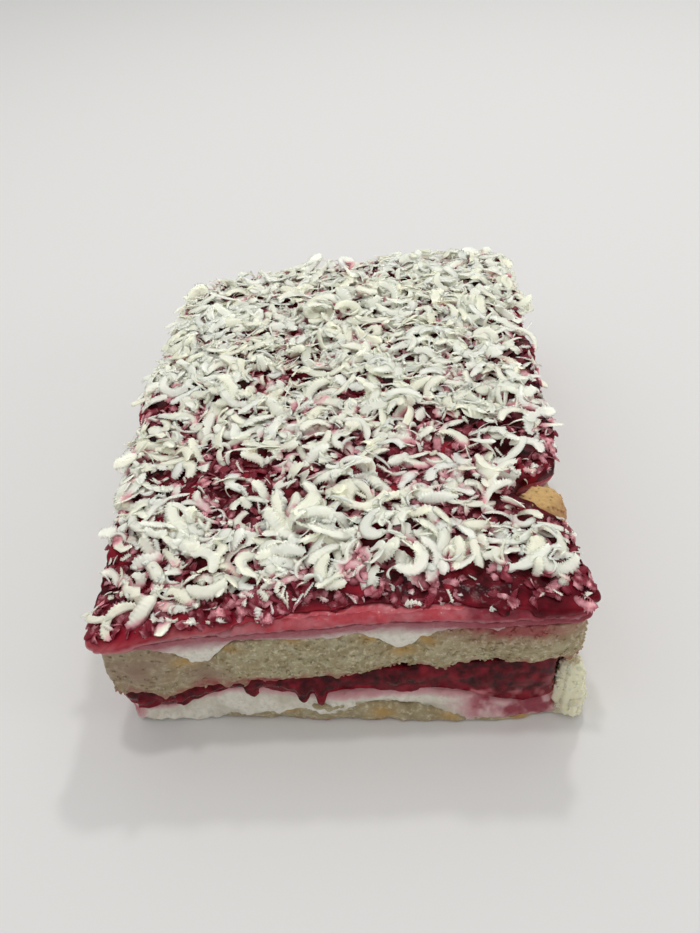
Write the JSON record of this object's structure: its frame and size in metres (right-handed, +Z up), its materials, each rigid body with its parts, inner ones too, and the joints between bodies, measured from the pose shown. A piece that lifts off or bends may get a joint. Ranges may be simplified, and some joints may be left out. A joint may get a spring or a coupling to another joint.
{
  "type": "berry tiramisu slab",
  "caption": "Hand-cut oblong slab of berry tiramisu: soaked sponge, cream and berry filling in layers, under a glossy berry sauce strewn with curled white shavings.",
  "frame": {"origin": "middle of the slab's base on the surface it rests on", "axes": "+X along the cut front to its right, +Y from the cut front to the back, +Z up through the layers"},
  "size_m": [0.158, 0.223, 0.0593],
  "materials": {
    "sponge": "matte, porous pale golden crumb",
    "cream": "satin, moist off-white cream",
    "berry_filling": "wet, lumpy dark red fruit filling",
    "berry_cream": "moist coral pink cream stained by the sauce",
    "berry_sauce": "glossy dark red sauce with fruit lumps"
  },
  "bodies": {
    "root": {"base_sponge": "sponge", "lower_cream": "cream", "berry_filling": "berry_filling", "upper_sponge": "sponge", "upper_cream": "cream", "berry_cream": "berry_cream", "berry_sauce": "berry_sauce"}
  },
  "joints": []
}
